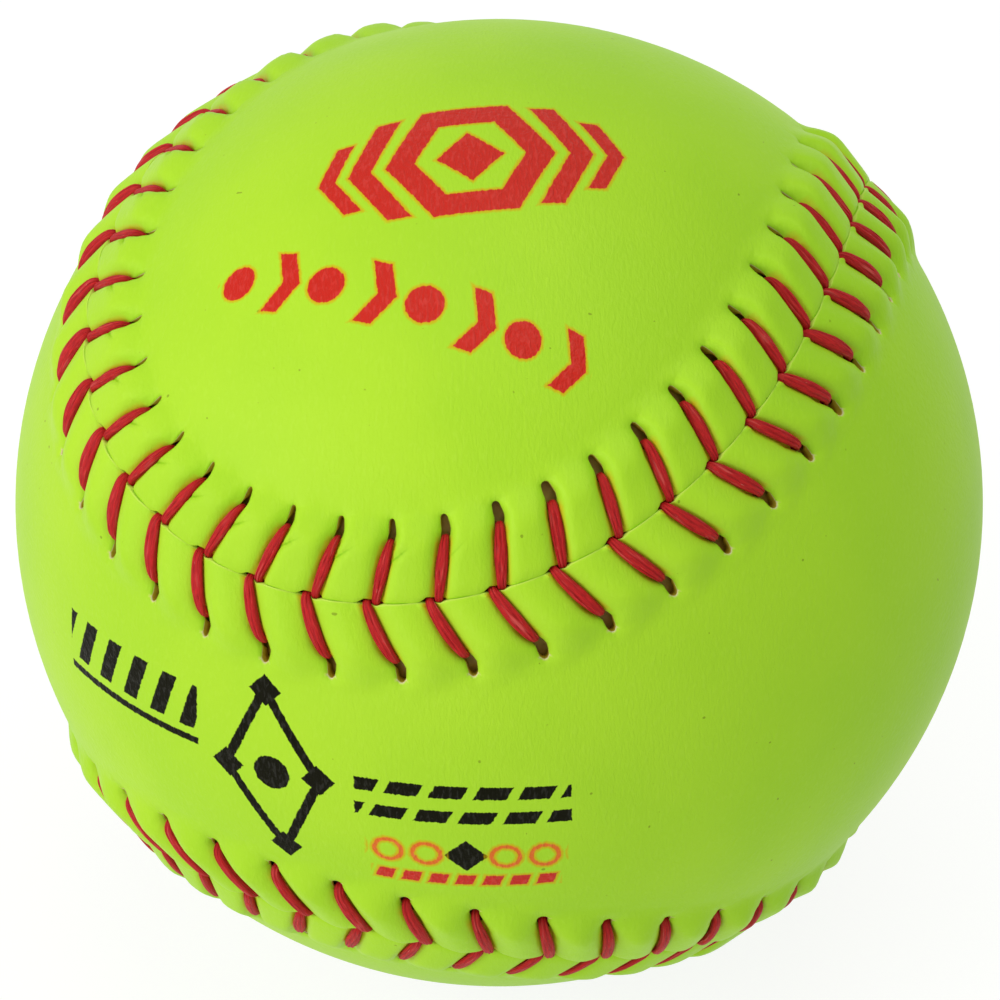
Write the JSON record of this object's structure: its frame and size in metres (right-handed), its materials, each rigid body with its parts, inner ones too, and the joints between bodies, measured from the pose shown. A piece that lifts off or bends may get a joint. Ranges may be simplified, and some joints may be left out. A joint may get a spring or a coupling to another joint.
{
  "type": "softball",
  "caption": "Ball with a two-piece waisted cover, a raised closed seam and two interlaced stitching threads over a moulded core, for bat-and-ball play.",
  "frame": {"origin": "centre of the ball", "axes": "+Y through the middle of the waist of cover panel A, whose lobes lie at +Z and -Z; the waist of panel B is at -Y and its lobes lie at +X and -X"},
  "size_m": [0.0962, 0.0964, 0.0962],
  "materials": {
    "foam": "matt moulded foam",
    "cement": "dried cement",
    "cover": "satin grained optic yellow-green",
    "thread": "waxed red thread"
  },
  "bodies": {
    "root": {"core": "foam", "cement_coat": "cement", "cover_panel_a": "cover", "cover_panel_b": "cover", "thread_a": "thread", "thread_b": "thread"}
  },
  "joints": []
}
